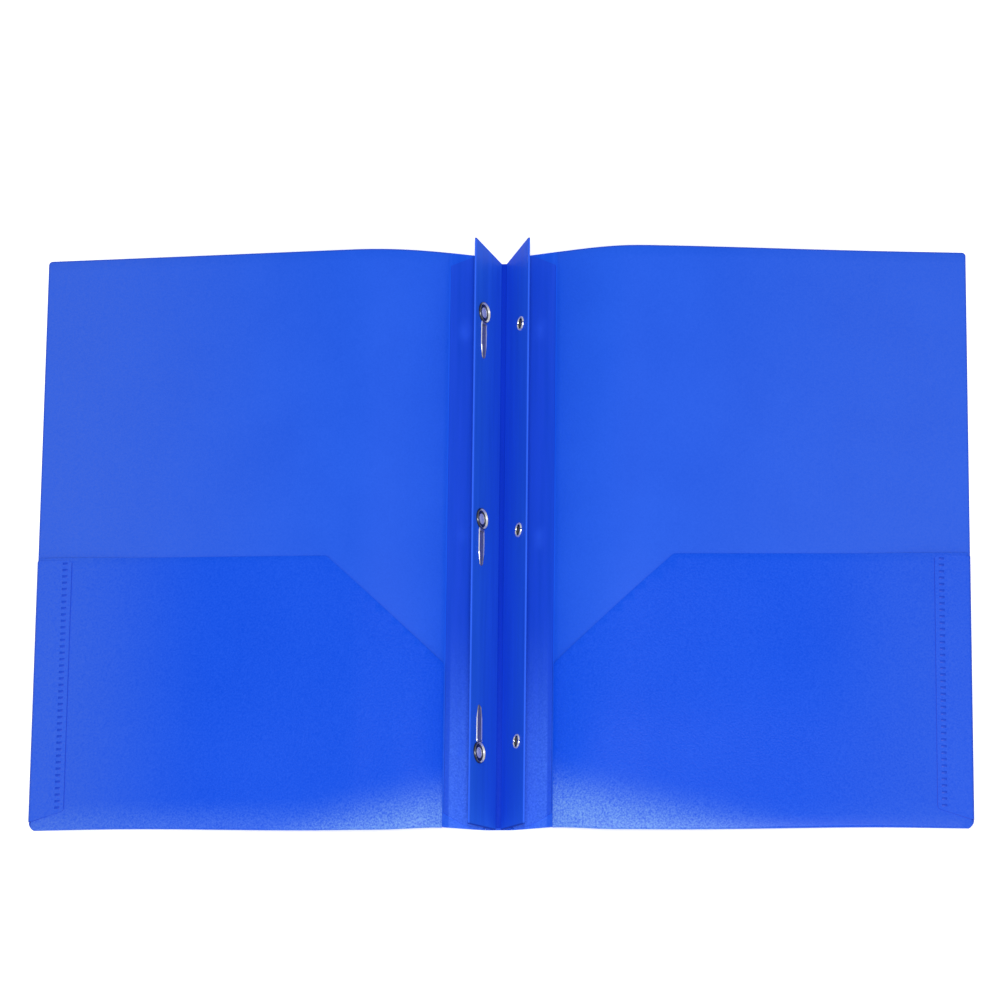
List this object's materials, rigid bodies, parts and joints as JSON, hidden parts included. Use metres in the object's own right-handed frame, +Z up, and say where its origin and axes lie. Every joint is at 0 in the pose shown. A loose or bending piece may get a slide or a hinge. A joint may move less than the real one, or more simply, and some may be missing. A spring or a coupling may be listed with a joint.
{
  "type": "two pocket folder",
  "caption": "Open letter-size plastic folder with slant-cut inner pockets, welded side seams and a creased spine strip whose bendable steel tangs hold punched sheets.",
  "frame": {"origin": "middle of the spine's underside, on the surface that the open folder lies on", "axes": "+X across the open folder to the right cover, +Y along the spine to the top edge, +Z up out of the inner faces"},
  "size_m": [0.469, 0.302, 0.0267],
  "materials": {
    "body_sheet": "fine matte grain, slightly translucent blue polypropylene",
    "strip_sheet": "smooth satin blue polypropylene",
    "steel": "bright nickel-plated"
  },
  "bodies": {
    "spine": {"spine_panel": "body_sheet", "strip_base": "strip_sheet"},
    "left_panel_body": {"left_hinge_panel": "body_sheet", "left_strip_flange": "strip_sheet"},
    "left_cover_body": {"left_cover": "body_sheet", "left_pocket": "body_sheet", "left_seam_tab": "body_sheet"},
    "right_panel_body": {"right_hinge_panel": "body_sheet", "right_strip_flange": "strip_sheet"},
    "right_cover_body": {"right_cover": "body_sheet", "right_pocket": "body_sheet", "right_seam_tab": "body_sheet"},
    "left_wing_body": {"left_wing": "strip_sheet", "tang_eyelet_top": "steel", "tang_eyelet_middle": "steel", "tang_eyelet_bottom": "steel"},
    "right_wing_body": {"right_wing": "strip_sheet", "receiving_eyelet_top": "steel", "receiving_eyelet_middle": "steel", "receiving_eyelet_bottom": "steel"},
    "tang_top_body": {"tang_top": "steel"},
    "tang_middle_body": {"tang_middle": "steel"},
    "tang_bottom_body": {"tang_bottom": "steel"}
  },
  "joints": [
    {"name": "left_spine_crease", "type": "hinge", "parent": "spine", "child": "left_panel_body", "pos_m": [-0.00635, 0, 0.0005], "axis": [0, 1, 0], "range_deg": [0, 48]},
    {"name": "left_score_crease", "type": "hinge", "parent": "left_panel_body", "child": "left_cover_body", "pos_m": [-0.0271, 0, 0.00838], "axis": [0, 1, 0], "range_deg": [0, 47.3]},
    {"name": "left_wing_crease", "type": "hinge", "parent": "spine", "child": "left_wing_body", "pos_m": [-0.00175, 0, 0.0016], "axis": [0, 1, 0], "range_deg": [0, 22.5]},
    {"name": "right_spine_crease", "type": "hinge", "parent": "spine", "child": "right_panel_body", "pos_m": [0.00635, 0, 0.0005], "axis": [0, -1, 0], "range_deg": [0, 48]},
    {"name": "right_score_crease", "type": "hinge", "parent": "right_panel_body", "child": "right_cover_body", "pos_m": [0.0271, 0, 0.00838], "axis": [0, -1, 0], "range_deg": [0, 47.3]},
    {"name": "right_wing_crease", "type": "hinge", "parent": "spine", "child": "right_wing_body", "pos_m": [0.00175, 0, 0.0016], "axis": [0, -1, 0], "range_deg": [0, 25]},
    {"name": "tang_top_bend", "type": "hinge", "parent": "left_wing_body", "child": "tang_top_body", "pos_m": [-0.00874, 0.10795, 0.01875], "axis": [0.4147, 0, -0.91], "range_deg": [-90, 0]},
    {"name": "tang_middle_bend", "type": "hinge", "parent": "left_wing_body", "child": "tang_middle_body", "pos_m": [-0.00874, 0, 0.01875], "axis": [0.4147, 0, -0.91], "range_deg": [-90, 0]},
    {"name": "tang_bottom_bend", "type": "hinge", "parent": "left_wing_body", "child": "tang_bottom_body", "pos_m": [-0.00874, -0.10795, 0.01875], "axis": [-0.4147, 0, 0.91], "range_deg": [-90, 0]}
  ],
  "couplings": [
    {"joint": "left_score_crease", "follows": "left_spine_crease", "ratio": 0.98542},
    {"joint": "left_wing_crease", "follows": "left_spine_crease", "ratio": 0.46875},
    {"joint": "right_score_crease", "follows": "right_spine_crease", "ratio": 0.98542},
    {"joint": "right_wing_crease", "follows": "right_spine_crease", "ratio": 0.52083}
  ]
}
